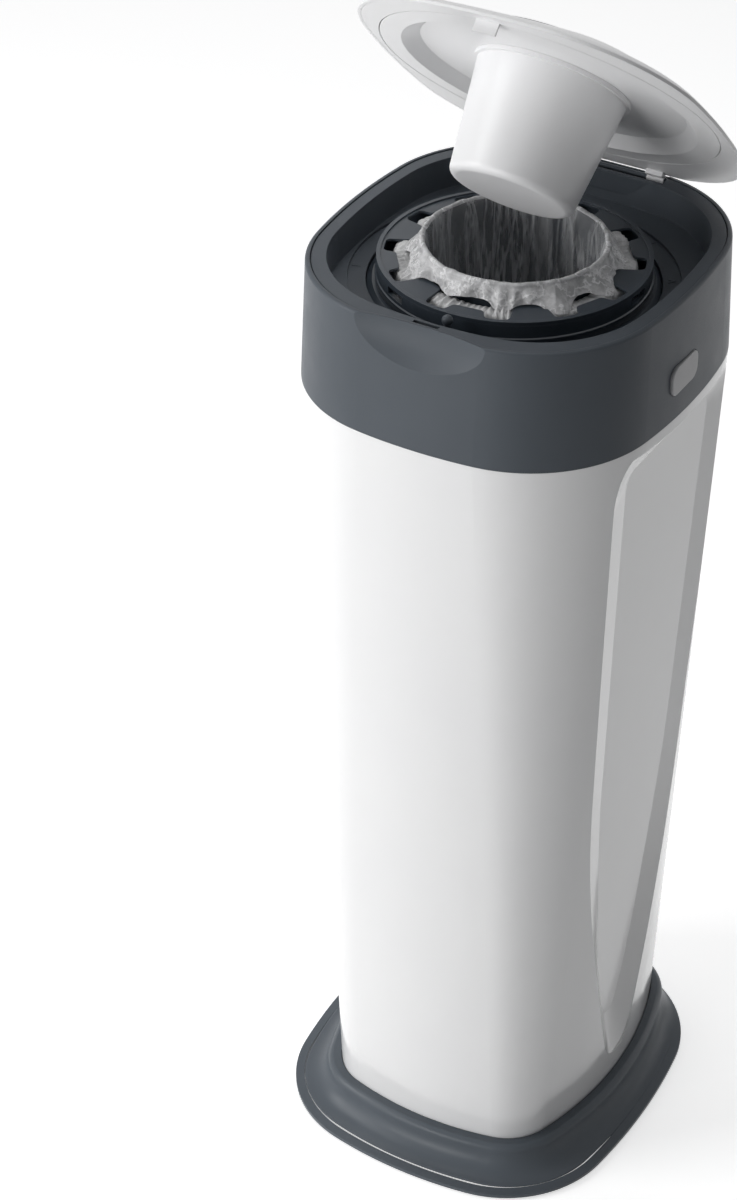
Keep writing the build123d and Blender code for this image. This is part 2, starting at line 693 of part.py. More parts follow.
def release_latch(side):
    """Sliding catch behind the button; its tooth lies under the tub's strike."""
    low = STRIKE_TOP - 2.5 - 5.5
    high = BUTTON_Z + 6
    tooth = STRIKE_IN - STRIKE_BARB - TOOTH_GAP
    with BuildPart() as latch:
        with BuildSketch(Plane.YZ.offset(LATCH_BACK)):
            with Locations((BUTTON_Y, (low + high) / 2)):
                Rectangle(LATCH_WIDTH, high - low)
        extrude(amount=LATCH_THICK)
        with BuildSketch(Plane.XZ.offset(-BUTTON_Y - LATCH_WIDTH / 2 + 2)):
            with BuildLine():
                Polyline(
                    (LATCH_BACK + 1, low),
                    (tooth - 1, low),
                    (tooth, low + 5),
                    (LATCH_BACK + 1, low + 5),
                    close=True,
                )
            make_face()
        extrude(amount=LATCH_WIDTH - 4)
        with BuildSketch(Plane.YZ.offset(LATCH_BACK - 2)):
            with Locations((BUTTON_Y, BUTTON_Z - 4)):
                Circle(2)
        extrude(amount=2)
    if side < 0:
        latch.part = mirror(latch.part, about=Plane.YZ)
    return latch


def latch_spring(side):
    """Short compression spring between the well skirt and the catch."""
    start = SKIRT_RADIUS + SPRING_WIRE + 0.2
    coil_length = LATCH_BACK - SPRING_WIRE - 0.2 - start
    with BuildPart() as spring:
        with BuildLine():
            coil = Helix(
                pitch=coil_length / SPRING_TURNS,
                height=coil_length,
                radius=SPRING_RADIUS,
                center=(start, BUTTON_Y, BUTTON_Z - 4),
                direction=(1, 0, 0),
            )
        with BuildSketch(Plane(origin=coil @ 0, z_dir=coil % 0)):
            Circle(SPRING_WIRE)
        sweep(path=coil, is_frenet=True)
    if side < 0:
        spring.part = mirror(spring.part, about=Plane.YZ)
    return spring


for hand, side in (("right", 1), ("left", -1)):
    finish(release_button(side), f"release_button_{hand}")
    finish(release_latch(side), f"release_latch_{hand}")
    finish(latch_spring(side), f"latch_spring_{hand}")

# ---------------------------------------------------------------- gripper plate
bundle_low = FUNNEL_NECK_Z - BUNDLE_PITCH
with BuildPart() as fingers:
    # skin that hugs the lower half of the bundle, then cut to six tapering fingers
    with BuildSketch(PROFILE):
        with BuildLine():
            cone_foot_z = GRIPPER_Z - GRIPPER_CONE_DROP + 1
            tip_z = bundle_low + 5
            tip_radius = 0.60 * BUNDLE_RADIUS + 1
            belly_radius = 0.92 * BUNDLE_RADIUS + 1.8
            outer = Spline(
                (GRIPPER_CONE_FOOT + 2, cone_foot_z),
                (belly_radius + FINGER_THICK, bundle_low + 21),
                (tip_radius + 0.6, tip_z - FINGER_THICK),
            )
            inner = Spline(
                (tip_radius, tip_z),
                (belly_radius, bundle_low + 22),
                (GRIPPER_CONE_FOOT - 0.4, cone_foot_z),
            )
            Line(outer @ 1, inner @ 0)
            Line(inner @ 1, outer @ 0)
        make_face()
    revolve(axis=AXIS)
    with BuildSketch(level(bundle_low, AXIS_Y)):
        with PolarLocations(0, FINGER_COUNT):
            Polygon(
                (tip_radius - 4, -FINGER_TIP_WIDTH / 2),
                (GRIPPER_CONE_FOOT + 6, -FINGER_ROOT_WIDTH / 2),
                (GRIPPER_CONE_FOOT + 6, FINGER_ROOT_WIDTH / 2),
                (tip_radius - 4, FINGER_TIP_WIDTH / 2),
                align=None,
            )
    extrude(amount=GRIPPER_Z - bundle_low, mode=Mode.INTERSECT)

with BuildPart() as gripper_plate:
    with BuildSketch(PROFILE):
        with BuildLine():
            Polyline(
                (GRIPPER_RADIUS, GRIPPER_Z - 1),
                (GRIPPER_RADIUS, GRIPPER_Z + PLATE),
                (GRIPPER_CONE_TOP, GRIPPER_Z + PLATE),
                (GRIPPER_CONE_FOOT, GRIPPER_Z + PLATE - GRIPPER_CONE_DROP),
                (GRIPPER_CONE_FOOT, GRIPPER_Z - GRIPPER_CONE_DROP),
                (GRIPPER_CONE_FOOT + 2, GRIPPER_Z - GRIPPER_CONE_DROP),
                (GRIPPER_CONE_TOP + 1, GRIPPER_Z),
                (GRIPPER_RADIUS - 1.2, GRIPPER_Z),
                (GRIPPER_RADIUS - 1.2, GRIPPER_Z - 1),
                close=True,
            )
        make_face()
    revolve(axis=AXIS)
    add(fingers.part)
    # leaf shaped windows above the fingers, and the screw holes
    with BuildSketch(level(GRIPPER_Z - GRIPPER_CONE_DROP - 1, AXIS_Y)):
        with PolarLocations((GRIPPER_CONE_TOP + GRIPPER_CONE_FOOT) / 2 + 1, FINGER_COUNT):
            Ellipse(8.0, 5.0)
    extrude(amount=GRIPPER_CONE_DROP + 6, mode=Mode.SUBTRACT)
    with BuildSketch(level(GRIPPER_Z - 1, AXIS_Y)):
        with PolarLocations(SCREW_CIRCLE, FINGER_COUNT, start_angle=30):
            Circle(SCREW_RADIUS + 0.1)
    extrude(amount=PLATE + 2, mode=Mode.SUBTRACT)
finish(gripper_plate, "gripper_plate")

with BuildPart() as gripper_screws:
    with BuildSketch(level(GRIPPER_Z - 1.7, AXIS_Y)):
        with PolarLocations(SCREW_CIRCLE, FINGER_COUNT, start_angle=30):
            Circle(2.7)
    extrude(amount=1.7)
    with BuildSketch(level(GRIPPER_Z, AXIS_Y)):
        with PolarLocations(SCREW_CIRCLE, FINGER_COUNT, start_angle=30):
            Circle(SCREW_RADIUS - 0.05)
    extrude(amount=PLATE + 8)
finish(gripper_screws, "gripper_screws")

# ---------------------------------------------------------------- cassette and carrier
carrier_low = LEDGE_Z + FIT
band_low = CASSETTE_TOP - CASSETTE_BAND
cap_low = CASSETTE_TOP - 2.4
with BuildPart() as cassette_carrier:
    with BuildSketch(PROFILE):
        with BuildLine():
            Polyline(
                (CASSETTE_BODY + 1.2, carrier_low),
                (WELL_RADIUS - FIT, carrier_low),
                (WELL_RADIUS - FIT, band_low - 3),
                (CASSETTE_RIM + 2.4, band_low),
                (CASSETTE_BODY + 1.2, band_low),
                close=True,
            )
        make_face()
    revolve(axis=AXIS)
    with BuildSketch(level(carrier_low, AXIS_Y)):
        with PolarLocations(CASSETTE_BODY + 0.6, 3, start_angle=60):
            Rectangle(2.6, 5)
    extrude(amount=band_low - carrier_low)
finish(cassette_carrier, "cassette_carrier")

with BuildPart() as cassette_body:
    with BuildSketch(PROFILE):
        with BuildLine():
            Polyline(
                (TUBE_RADIUS + FIT, CASSETTE_FLOOR),
                (CASSETTE_BODY - CASSETTE_TAPER, CASSETTE_FLOOR),
                (CASSETTE_BODY, band_low),
                (CASSETTE_RIM, band_low),
                (CASSETTE_RIM + 0.8, band_low + 4),
                (CASSETTE_RIM + 0.8, band_low + 5),
                (CASSETTE_RIM, band_low + 5.6),
                (CASSETTE_RIM, cap_low),
                (CASSETTE_RIM - 1.8, cap_low),
                (CASSETTE_BODY - 1.8, band_low),
                (CASSETTE_BODY - CASSETTE_TAPER - 1.8, CASSETTE_FLOOR + 1.8),
                (TUBE_RADIUS + FIT, CASSETTE_FLOOR + 1.8),
                close=True,
            )
        make_face()
    revolve(axis=AXIS)
    # windows in the band, key slots below it and sunk panels round the body
    with BuildSketch(level(band_low + 7.5, AXIS_Y)):
        with PolarLocations(CASSETTE_RIM, 3):
            Rectangle(6, 15)
    extrude(amount=4.5, mode=Mode.SUBTRACT)
    with BuildSketch(level(carrier_low - 1, AXIS_Y)):
        with PolarLocations(CASSETTE_BODY + 0.6, 3, start_angle=60):
            Rectangle(3.4, 6)
    extrude(amount=band_low - carrier_low + 1, mode=Mode.SUBTRACT)
    with BuildSketch(level(CASSETTE_FLOOR + 6, AXIS_Y)):
        with PolarLocations(CASSETTE_BODY + 0.4, 12, start_angle=15):
            Rectangle(4.4, 12)
    extrude(amount=22, mode=Mode.SUBTRACT)
finish(cassette_body, "cassette_body")

with BuildPart() as cassette_tube:
    with BuildSketch(PROFILE):
        with BuildLine():
            Polyline(
                (TUBE_RADIUS - TUBE_WALL, CASSETTE_FLOOR),
                (TUBE_RADIUS, CASSETTE_FLOOR),
                (TUBE_RADIUS, TUBE_TOP - 1),
            )
            ThreePointArc(
                (TUBE_RADIUS, TUBE_TOP - 1),
                (TUBE_RADIUS - TUBE_WALL / 2, TUBE_TOP),
                (TUBE_RADIUS - TUBE_WALL, TUBE_TOP - 1),
            )
            Line((TUBE_RADIUS - TUBE_WALL, TUBE_TOP - 1), (TUBE_RADIUS - TUBE_WALL, CASSETTE_FLOOR))
        make_face()
    revolve(axis=AXIS)
finish(cassette_tube, "cassette_tube")

with BuildPart() as cassette_cap:
    # ring whose long and short tabs, by turns, hold the pleated film down
    with BuildSketch(level(cap_low, AXIS_Y)) as cap_plan:
        Circle(CASSETTE_RIM)
        Circle(CASSETTE_RIM - CAP_RING, mode=Mode.SUBTRACT)
        for start, tip_radius, tip, root in (
            (CAP_TURN, TUBE_RADIUS + 3.4, LONG_TAB_TIP, LONG_TAB_ROOT),
            (CAP_TURN + 180 / CAP_TABS, CASSETTE_RIM - SHORT_TAB, SHORT_TAB_TIP, SHORT_TAB_ROOT),
        ):
            with PolarLocations(0, CAP_TABS, start_angle=start):
                Polygon(
                    (tip_radius, -tip / 2),
                    (CASSETTE_RIM - 1.5, -root / 2),
                    (CASSETTE_RIM - 1.5, root / 2),
                    (tip_radius, tip / 2),
                    align=None,
                )
        rounded = [
            corner
            for corner in cap_plan.vertices()
            if hypot(corner.X, corner.Y - AXIS_Y) < CASSETTE_RIM - 1
        ]
        fillet(rounded, TAB_ROUND)
    extrude(amount=1.6)
    with BuildSketch(level(cap_low, AXIS_Y)):
        Circle(CASSETTE_RIM)
        Circle(CASSETTE_RIM - 2.5, mode=Mode.SUBTRACT)
    extrude(amount=2.4)
finish(cassette_cap, "cassette_cap")

# ---------------------------------------------------------------- film and bundles
with BuildPart() as film_pack:
    with BuildSketch(PROFILE):
        with BuildLine():
            pack_in = TUBE_RADIUS + 2.2
            pack_out = CASSETTE_BODY - CASSETTE_TAPER - 3
            Polyline(
                (pack_in, cap_low - 2),
                (pack_in, CASSETTE_FLOOR + 2.2),
                (pack_out, CASSETTE_FLOOR + 2.2),
                (pack_out, cap_low - 2),
            )
            ThreePointArc(
                (pack_out, cap_low - 2),
                ((pack_in + pack_out) / 2, cap_low - 0.5),
                (pack_in, cap_low - 2),
            )
        make_face()
    revolve(axis=AXIS)
finish(film_pack, "film_pack")

film_in = TUBE_RADIUS - TUBE_WALL - FIT
film_out = TUBE_RADIUS + FIT
with BuildPart() as film_mouth:
    # over the tube's lip, down its bore and drawn in to a twisted neck
    with BuildSketch(PROFILE):
        with BuildLine():
            lip_z = TUBE_TOP - 1
            hem_z = CASSETTE_TOP + 0.2
            funnel_z = CASSETTE_FLOOR - 7
            FilletPolyline(
                (FILM_HEM, hem_z), (film_out, hem_z + 1.4), (film_out, lip_z), radius=FILM_ROUND
            )
            ThreePointArc(
                (film_out, lip_z),
                ((film_in + film_out) / 2, TUBE_TOP + FIT),
                (film_in, lip_z),
            )
            FilletPolyline(
                (film_in, lip_z),
                (film_in, funnel_z),
                (NECK_RADIUS, FUNNEL_NECK_Z),
                radius=2 * FILM_ROUND,
            )
            Polyline(
                (NECK_RADIUS, FUNNEL_NECK_Z), (0, FUNNEL_NECK_Z), (0, FUNNEL_NECK_Z + 2.5)
            )
            FilletPolyline(
                (0, FUNNEL_NECK_Z + 2.5),
                (film_in - FILM, funnel_z + FILM),
                (film_in - FILM, lip_z),
                radius=2 * FILM_ROUND - FILM,
            )
            ThreePointArc(
                (film_in - FILM, lip_z),
                ((film_in + film_out) / 2, TUBE_TOP + FIT + FILM),
                (film_out + FILM, lip_z),
            )
            FilletPolyline(
                (film_out + FILM, lip_z),
                (film_out + FILM, hem_z + 1.4 + FILM),
                (FILM_HEM, hem_z + FILM),
                radius=FILM_ROUND - FILM,
            )
            Line((FILM_HEM, hem_z + FILM), (FILM_HEM, hem_z))
        make_face()
    revolve(axis=AXIS)
finish(film_mouth, "film_mouth")


def wrapped_bundle(neck_z):
    """Soft drum of wrapped film between two twisted necks, hanging from its top neck."""
    low = neck_z - BUNDLE_PITCH + FIT
    with BuildPart() as bundle:
        with BuildSketch(PROFILE):
            with BuildLine():
                Line((0, low), (NECK_RADIUS, low))
                FilletPolyline(
                    (NECK_RADIUS, low),
                    (0.80 * BUNDLE_RADIUS, low + 5.5),
                    (BUNDLE_RADIUS, low + 50),
                    (0.93 * BUNDLE_RADIUS, neck_z - 12),
                    (NECK_RADIUS, neck_z),
                    radius=0.54 * BUNDLE_RADIUS,
                )
                Line((NECK_RADIUS, neck_z), (0, neck_z))
                Line((0, neck_z), (0, low))
            make_face()
        revolve(axis=AXIS)
    return bundle


for number in range(BUNDLE_COUNT):
    top = FUNNEL_NECK_Z - FIT - number * BUNDLE_PITCH
    finish(wrapped_bundle(top), f"wrapped_bundle_{number + 1}")

# ---------------------------------------------------------------- lid
lid_low = LID_SEAT_Z + LID_GAP
lid_outline = grown(LID_SEAT, 0)
lid_top = lid_low + LID_EDGE + LID_RISE - LID_SKIN


def lid_dome(inset):
    """The lid's outer form, or the same form set in by a wall, on the lid's own levels."""
    low = lid_low if inset == 0 else lid_low - 1
    edge = lid_low + LID_EDGE
    rise = LID_RISE - LID_SKIN - inset
    with BuildPart() as dome:
        lid_skin([(grown(lid_outline, -inset), low), (grown(lid_outline, -inset), edge)])
        lid_skin(
            [
                (grown(lid_outline, -inset), edge),
                (grown(lid_outline, -inset - 2.4), edge + rise * 0.11),
                (grown(lid_outline, -inset - 14), edge + rise * 0.40),
                (grown(lid_outline, -inset - 32), edge + rise * 0.75),
                (grown(lid_outline, -inset - 56), edge + rise),
            ]
        )
        # flat along the back, so that the lid's edge clears the collar as it swings
        with BuildSketch(lid_level(lid_low - 2, LID_BACK - inset + 20)):
            Rectangle(2 * lid_outline.half_x, 40)
        extrude(amount=LID_RISE + LID_EDGE, mode=Mode.SUBTRACT)
    return dome.part


dome_outside = lid_dome(0)
dome_inside = lid_dome(LID_SKIN)
dial_seat = lid_top - 1.2
with BuildPart() as lid_shell:
    add(dome_outside)
    add(dome_inside, mode=Mode.SUBTRACT)
    # sunk seat and bore for the dial
    with BuildSketch(lid_level(dial_seat, AXIS_Y)):
        Circle(DIAL_RADIUS + 0.6)
    extrude(amount=10, mode=Mode.SUBTRACT)
    with BuildSketch(lid_level(dial_seat - LID_SKIN - 6, AXIS_Y)):
        Circle(HUB_RADIUS + 3)
    extrude(amount=20, mode=Mode.SUBTRACT)
finish(lid_shell, "lid_shell")

with BuildPart() as lid_rim:
    # flat frame that closes the underside round the disc
    frame_out = grown(lid_outline, -LID_SKIN - 0.1)
    with BuildSketch(lid_level(lid_low, lid_outline.mid_y)):
        draw(frame_out)
        with Locations((0, AXIS_Y - lid_outline.mid_y)):
            Circle(DISC_RADIUS + DISC_GAP, mode=Mode.SUBTRACT)
    extrude(amount=LID_EDGE - 0.4)
    with BuildSketch(lid_level(lid_low - 2, LID_BACK - LID_SKIN - 0.1 + 20)):
        Rectangle(2 * lid_outline.half_x, 40)
    extrude(amount=LID_EDGE + 4, mode=Mode.SUBTRACT)
    # hook that drops into the collar's slot
    with BuildSketch(lid_level(lid_low - 7, SLOT_Y - 0.2)):
        Rectangle(2 * SLOT_HALF - 2, HOOK_THICK)
    extrude(amount=8)
    # lugs of the lid hinge, each on a web that stands down from the frame
    web_front = POCKET_Y + 0.6 - LID_HINGE_Y
    web_back = LID_BACK - LID_SKIN - 0.2 - LID_HINGE_Y
    for side in (-1, 1):
        lug_mid = lid_point(LID_HINGE_Y, LID_HINGE_Z)
        lug_plane = Plane(
            origin=(side * LID_LUG_X - LID_LUG_WIDTH / 2, *lug_mid[1:]),
            x_dir=tuple(-value for value in LID_FORWARD),
            z_dir=(1, 0, 0),
        )
        with BuildSketch(lug_plane):
            Circle(LID_BARREL)
            with Locations(((web_front - 0.5) / 2, (lid_low - LID_HINGE_Z - 0.2) / 2)):
                Rectangle(-0.5 - web_front, lid_low - LID_HINGE_Z - 0.2)
            with Locations(((web_front + web_back) / 2, (lid_low - LID_HINGE_Z + 1) / 2)):
                Rectangle(web_back - web_front, lid_low - LID_HINGE_Z + 1)
            Circle(LID_PIN + PIN_PLAY, mode=Mode.SUBTRACT)
        extrude(amount=LID_LUG_WIDTH)
finish(lid_rim, "lid_rim")

bush_low = dial_seat - LID_SKIN
with BuildPart() as dial_bush:
    with BuildSketch(LID_PROFILE):
        with BuildLine():
            Polyline(
                (HUB_RADIUS + PIN_PLAY, bush_low - 1.5),
                (HUB_RADIUS + 5, bush_low - 1.5),
                (HUB_RADIUS + 5, bush_low),
                (HUB_RADIUS + 3 - PIN_PLAY, bush_low),
                (HUB_RADIUS + 3 - PIN_PLAY, dial_seat),
                (HUB_RADIUS + PIN_PLAY, dial_seat),
                close=True,
            )
        make_face()
    revolve(axis=LID_AXIS)
finish(dial_bush, "dial_bush")

dish_floor = lid_low + DISH_RISE
hub_low = dish_floor + PLATE
with BuildPart() as plunger_disc:
    with BuildSketch(LID_PROFILE):
        with BuildLine():
            # underside from the edge inwards: flat ring, rounded step, dish
            Polyline(
                (DISC_RADIUS, lid_low),
                (DISH_RADIUS, lid_low),
                (DISH_INNER, dish_floor),
                (PLUNGER_TOP - PLATE, dish_floor),
                (PLUNGER_TOP - PLATE, hub_low),
                (DISH_INNER, hub_low),
                (DISH_RADIUS, lid_low + PLATE),
                (DISC_RADIUS - DISC_EDGE, lid_low + PLATE),
                (DISC_RADIUS, lid_low + DISC_EDGE),
                close=True,
            )
        make_face()
    revolve(axis=LID_AXIS)
finish(plunger_disc, "plunger_disc")

cup_top = dish_floor - 0.05
with BuildPart() as plunger_cup:
    # cup that presses the film down, its flange held against the disc
    with BuildSketch(LID_PROFILE):
        with BuildLine():
            FilletPolyline(
                (PLUNGER_TOP, cup_top - PLATE),
                (PLUNGER_TIP, PLUNGER_TIP_Z),
                (0, PLUNGER_TIP_Z),
                radius=PLUNGER_ROUND,
            )
            Polyline(
                (0, PLUNGER_TIP_Z),
                (0, PLUNGER_TIP_Z + PLATE),
                (PLUNGER_TIP - PLUNGER_ROUND, PLUNGER_TIP_Z + PLATE),
                (PLUNGER_TIP - PLATE, PLUNGER_TIP_Z + PLUNGER_ROUND),
                (PLUNGER_TOP - PLATE, cup_top),
                (PLUNGER_TOP + PLUNGER_FLANGE, cup_top),
                (PLUNGER_TOP + PLUNGER_FLANGE, cup_top - PLATE),
                (PLUNGER_TOP, cup_top - PLATE),
            )
        make_face()
    revolve(axis=LID_AXIS)
finish(plunger_cup, "plunger_cup")

hub_flange = PLUNGER_TOP + 5
with BuildPart() as drive_hub:
    with BuildSketch(LID_PROFILE):
        with BuildLine():
            Polyline(
                (3.2, hub_low),
                (hub_flange, hub_low),
                (hub_flange, hub_low + 1.6),
                (HUB_RADIUS, hub_low + 1.6),
                (HUB_RADIUS, dial_seat - 0.4),
                (3.2, dial_seat - 0.4),
                close=True,
            )
        make_face()
    revolve(axis=LID_AXIS)
finish(drive_hub, "drive_hub")

with BuildPart() as dial_screw:
    with BuildSketch(LID_PROFILE):
        with BuildLine():
            Polyline(
                (0, hub_low - 2.2),
                (5.5, hub_low - 2.2),
                (5.5, hub_low),
                (3.0, hub_low),
                (3.0, dial_seat + 2),
                (0, dial_seat + 2),
                close=True,
            )
        make_face()
    revolve(axis=LID_AXIS)
finish(dial_screw, "dial_screw")

dial_low = dial_seat + 0.3
with BuildPart() as twist_dial:
    with BuildSketch(LID_PROFILE):
        with BuildLine():
            Polyline(
                (0, dial_low),
                (DIAL_RADIUS, dial_low),
                (DIAL_RADIUS, dial_low + DIAL_HEIGHT - 2.5),
            )
            ThreePointArc(
                (DIAL_RADIUS, dial_low + DIAL_HEIGHT - 2.5),
                (DIAL_RADIUS - 1, dial_low + DIAL_HEIGHT - 0.6),
                (DIAL_RADIUS - 3.5, dial_low + DIAL_HEIGHT),
            )
            ThreePointArc(
                (DIAL_RADIUS - 3.5, dial_low + DIAL_HEIGHT),
                (DIAL_RADIUS / 2, dial_low + DIAL_HEIGHT - 1.5),
                (0, dial_low + DIAL_HEIGHT - 2),
            )
            Line((0, dial_low + DIAL_HEIGHT - 2), (0, dial_low))
        make_face()
    revolve(axis=LID_AXIS)
    # grip bar across the middle
    with BuildSketch(lid_level(dial_low + 1, AXIS_Y)):
        SlotOverall(2 * DIAL_RADIUS - 12, 20)
    extrude(amount=GRIP_HEIGHT, taper=12)
    with BuildSketch(LID_PROFILE):
        with Locations((1.55, dial_low + 0.9)):
            Rectangle(3.1, 1.8)
    revolve(axis=LID_AXIS, mode=Mode.SUBTRACT)
finish(twist_dial, "twist_dial")

# ---------------------------------------------------------------- film cutter
cutter_y = AXIS_Y - SKIRT_RADIUS
cutter_low = skirt_low + 14
with BuildPart() as film_cutter_guard:
    with BuildSketch(level(cutter_low)):
        with Locations((0, cutter_y - 4.6)):
            Rectangle(26, 9)
        with Locations((0, cutter_y - 6)):
            Rectangle(3, 7, mode=Mode.SUBTRACT)
    extrude(amount=11)
    with BuildSketch(PROFILE):
        with BuildLine():
            Polyline(
                (0, cutter_low - 1),
                (SKIRT_RADIUS + 0.1, cutter_low - 1),
                (SKIRT_RADIUS + 0.1, cutter_low + 12),
                (0, cutter_low + 12),
                close=True,
            )
        make_face()
    revolve(axis=AXIS, mode=Mode.SUBTRACT)
    with BuildSketch(Plane.YZ.offset(-6)):
        with Locations((cutter_y - 4.5, cutter_low + 7)):
            Rectangle(4.4, 1.0)
    extrude(amount=12, mode=Mode.SUBTRACT)
finish(film_cutter_guard, "film_cutter_guard")

with BuildPart() as film_cutter_blade:
    with BuildSketch(Plane.YZ.offset(-5.8)):
        with Locations((cutter_y - 4.5, cutter_low + 7)):
            Rectangle(4.2, 0.5)
    extrude(amount=11.6)
finish(film_cutter_blade, "film_cutter_blade")
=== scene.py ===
"""Looks of the nappy bin: film, bundles, small trim, materials, studio and camera round the fixed frame."""
import json
import math

import bpy
import numpy as np
from mathutils import Matrix, Vector, noise


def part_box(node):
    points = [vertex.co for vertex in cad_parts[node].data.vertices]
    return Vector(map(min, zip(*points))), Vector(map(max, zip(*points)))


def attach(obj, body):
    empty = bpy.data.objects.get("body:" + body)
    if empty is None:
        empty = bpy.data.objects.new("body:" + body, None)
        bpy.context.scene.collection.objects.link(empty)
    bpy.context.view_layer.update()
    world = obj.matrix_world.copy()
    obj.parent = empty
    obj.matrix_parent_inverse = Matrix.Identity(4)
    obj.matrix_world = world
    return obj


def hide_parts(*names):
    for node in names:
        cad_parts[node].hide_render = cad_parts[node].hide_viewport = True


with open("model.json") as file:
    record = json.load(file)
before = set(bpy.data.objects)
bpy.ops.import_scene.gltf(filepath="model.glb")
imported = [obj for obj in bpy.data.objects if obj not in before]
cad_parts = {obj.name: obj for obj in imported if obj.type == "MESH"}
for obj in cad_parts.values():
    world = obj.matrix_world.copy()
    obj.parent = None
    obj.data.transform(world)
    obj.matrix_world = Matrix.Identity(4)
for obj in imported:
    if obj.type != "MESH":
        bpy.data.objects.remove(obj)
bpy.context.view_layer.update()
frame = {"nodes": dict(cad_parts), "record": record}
MM = 0.001

# ---------------------------------------------------------------- camera
TURN, TILT = 0.5336, 0.6164
right = Vector((math.cos(TURN), math.sin(TURN), 0))
ahead = Vector((-math.sin(TURN) * math.cos(TILT), math.cos(TURN) * math.cos(TILT), -math.sin(TILT)))
up = right.cross(ahead)
eye = Vector((0.68943, -1.33070, 1.44042))
lens = bpy.data.cameras.new("camera")
lens.lens = 2992.72 * 36 / 1200
lens.sensor_width = 36
lens.clip_start, lens.clip_end = 0.05, 50
camera = bpy.data.objects.new("camera", lens)
camera.matrix_world = Matrix((
    (right.x, up.x, -ahead.x, eye.x),
    (right.y, up.y, -ahead.y, eye.y),
    (right.z, up.z, -ahead.z, eye.z),
    (0, 0, 0, 1),
))
bpy.context.collection.objects.link(camera)
bpy.context.scene.camera = camera
bpy.context.scene.view_settings.view_transform = "Standard"


# ---------------------------------------------------------------- materials
class Nodes:
    """Small helper that adds and joins shader nodes."""

    def __init__(self, name):
        self.material = bpy.data.materials.new(name)
        self.material.use_nodes = True
        self.tree = self.material.node_tree
        self.tree.nodes.clear()
        self.out = self.add("ShaderNodeOutputMaterial")
        self.shader = self.add("ShaderNodeBsdfPrincipled")
        self.link(self.shader, 0, self.out, "Surface")
        self.coords = self.add("ShaderNodeTexCoord")

    def add(self, kind, **values):
        node = self.tree.nodes.new(kind)
        for key, value in values.items():
            if hasattr(node, key) and key not in node.inputs:
                setattr(node, key, value)
            else:
                node.inputs[key].default_value = value
        return node

    def link(self, start, out, end, into):
        self.tree.links.new(start.outputs[out], end.inputs[into])

    def noise(self, scale, detail=3.0, rough=0.5, stretch=None):
        node = self.add("ShaderNodeTexNoise")
        node.inputs["Scale"].default_value = scale
        node.inputs["Detail"].default_value = detail
        node.inputs["Roughness"].default_value = rough
        if stretch:
            mapping = self.add("ShaderNodeMapping")
            mapping.inputs["Scale"].default_value = stretch
            self.link(self.coords, "Object", mapping, "Vector")
            self.link(mapping, 0, node, "Vector")
        else:
            self.link(self.coords, "Object", node, "Vector")
        return node

    def ramp(self, source, out, low, high, to_low, to_high):
        node = self.add("ShaderNodeMapRange")
        for key, value in (("From Min", low), ("From Max", high), ("To Min", to_low), ("To Max", to_high)):
            node.inputs[key].default_value = value
        self.link(source, out, node, "Value")
        return node

    def blend(self, factor, first, second):
        node = self.add("ShaderNodeMix", data_type="RGBA")
        self.link(factor, 0, node, 0)
        node.inputs[6].default_value = (*first, 1)
        node.inputs[7].default_value = (*second, 1)
        return node

    def bumps(self, layers, edge=0.0):
        """Bump layers as (node, strength, distance), the finest last, over softened edges."""
        previous = None
        if edge:
            previous = self.add("ShaderNodeBevel", samples=6)
            previous.inputs["Radius"].default_value = edge
        for source, strength, distance in layers:
            bump = self.add("ShaderNodeBump")
            bump.inputs["Strength"].default_value = strength
            bump.inputs["Distance"].default_value = distance
            self.link(source, 0, bump, "Height")
            if previous:
                self.link(previous, 0, bump, "Normal")
            previous = bump
        if previous:
            self.link(previous, 0, self.shader, "Normal")


def moulded(name, light, dark, rough, grain, depth, edge=0.0005, coat=0.0, specular=0.5, waves=0.0, scatter=0.0):
    """Moulded plastic: faint colour drift, grain in gloss and surface, softened edges."""
    m = Nodes(name)
    drift = m.ramp(m.noise(9, 2), 0, 0.3, 0.7, 0, 1)
    colour = m.blend(drift, light, dark)
    m.link(colour, 2, m.shader, "Base Color")
    gloss = m.ramp(m.noise(60, 4), 0, 0.25, 0.75, rough - 0.04, rough + 0.05)
    m.link(gloss, 0, m.shader, "Roughness")
    layers = []
    if waves:
        layers.append((m.noise(14, 1), waves, 0.002))
    layers.append((m.noise(grain, 3, 0.6), depth, 0.0002))
    m.bumps(layers, edge)
    m.shader.inputs["Specular IOR Level"].default_value = specular
    if coat:
        m.shader.inputs["Coat Weight"].default_value = coat
        m.shader.inputs["Coat Roughness"].default_value = 0.08
    if scatter:
        m.shader.inputs["Subsurface Weight"].default_value = scatter
        m.shader.inputs["Subsurface Radius"].default_value = (0.004, 0.004, 0.004)
        m.shader.inputs["Subsurface Scale"].default_value = 0.5
    return m.material


tub_white = moulded("tub_white_gloss", (0.86, 0.86, 0.86), (0.84, 0.84, 0.845), 0.16, 900, 0.05,
                    edge=0.0008, coat=0.35, waves=0.04)
lid_white = moulded("lid_white_satin", (0.86, 0.86, 0.865), (0.84, 0.84, 0.85), 0.34, 1400, 0.12, edge=0.0006)
housing_grey = moulded("housing_slate", (0.086, 0.098, 0.113), (0.074, 0.085, 0.099), 0.40, 2200, 0.32,
                       edge=0.0006, specular=0.18)
base_grey = moulded("base_slate", (0.096, 0.111, 0.129), (0.082, 0.096, 0.112), 0.34, 2200, 0.25, edge=0.0006,
                    specular=0.25)
cassette_slate = moulded("cassette_slate", (0.052, 0.066, 0.082), (0.042, 0.053, 0.068), 0.36, 1600, 0.15,
                         edge=0.0003)
button_grey = moulded("button_light_grey", (0.40, 0.40, 0.41), (0.37, 0.37, 0.38), 0.40, 2200, 0.25, edge=0.0005)
